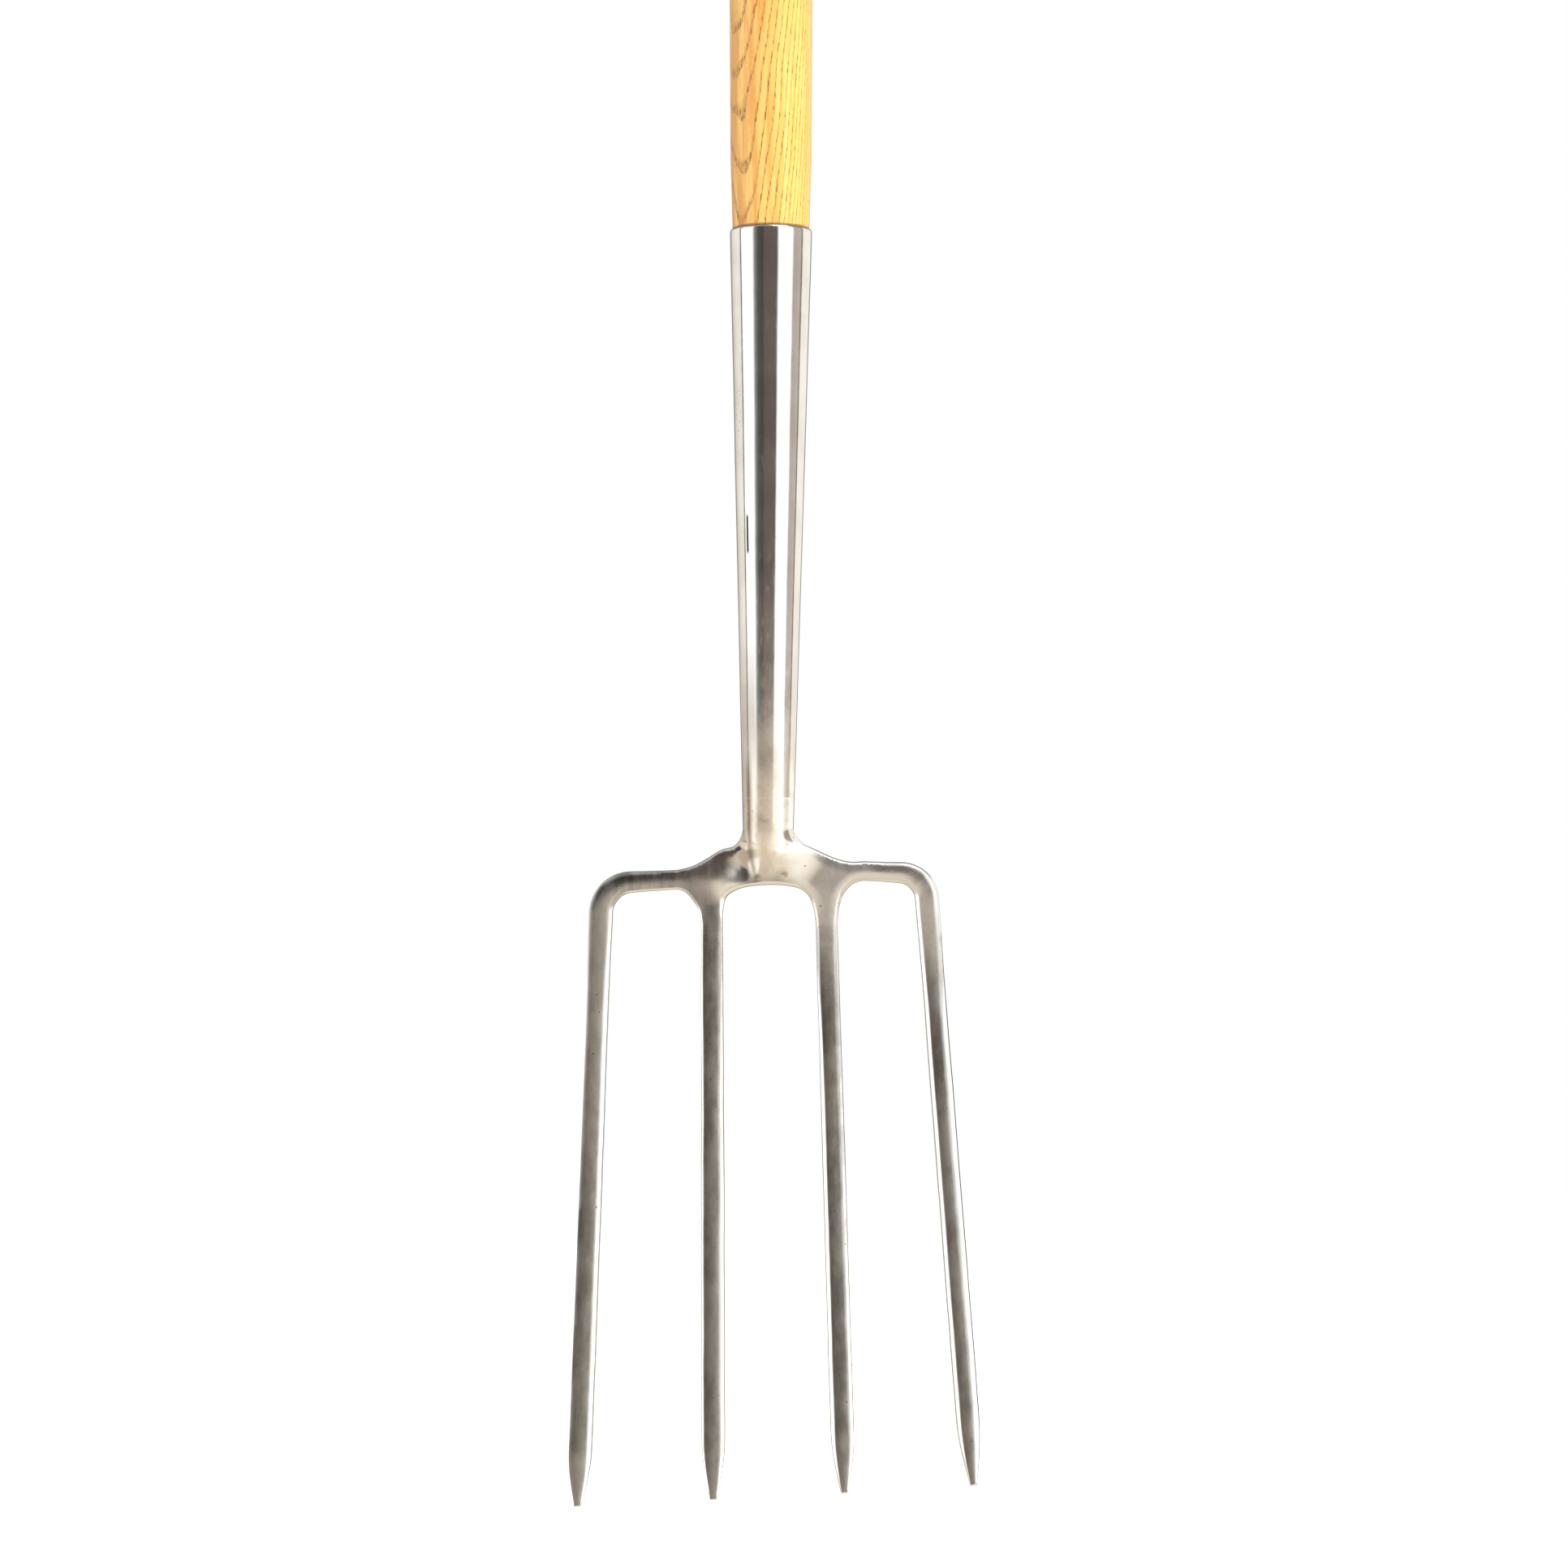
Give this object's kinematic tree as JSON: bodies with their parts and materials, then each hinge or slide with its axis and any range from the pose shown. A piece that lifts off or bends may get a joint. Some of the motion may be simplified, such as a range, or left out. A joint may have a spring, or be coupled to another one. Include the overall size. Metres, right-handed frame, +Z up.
{
  "type": "digging fork",
  "caption": "Hand-forged garden digging fork with bevelled stainless tines, a long tapered socket and an ash shaft with a D grip.",
  "frame": {"origin": "on the shaft's axis, level with the lowest tine tip", "axes": "+Z up the shaft from the tines to the grip, -Y to the front of the tines, +X to the right seen from the front"},
  "size_m": [0.1922, 0.0406, 1.0991],
  "materials": {
    "forged_steel": "satin forged stainless steel with worn bright bevels",
    "polished_steel": "mirror-polished stainless steel, duller towards the crosshead",
    "ash_wood": "clear-lacquered ash",
    "fastener_steel": "plain bright steel"
  },
  "bodies": {
    "root": {"outer_tine_left": "forged_steel", "outer_tine_right": "forged_steel", "inner_tine_left": "forged_steel", "inner_tine_right": "forged_steel", "crosshead": "forged_steel", "socket": "polished_steel", "ash_shaft": "ash_wood", "grip_bar": "ash_wood", "grip_rod": "fastener_steel", "grip_washer_left": "fastener_steel", "grip_washer_right": "fastener_steel", "throat_rivet": "fastener_steel", "throat_washer_left": "fastener_steel", "throat_washer_right": "fastener_steel", "socket_screw_upper": "fastener_steel", "socket_screw_lower": "fastener_steel"}
  },
  "joints": []
}
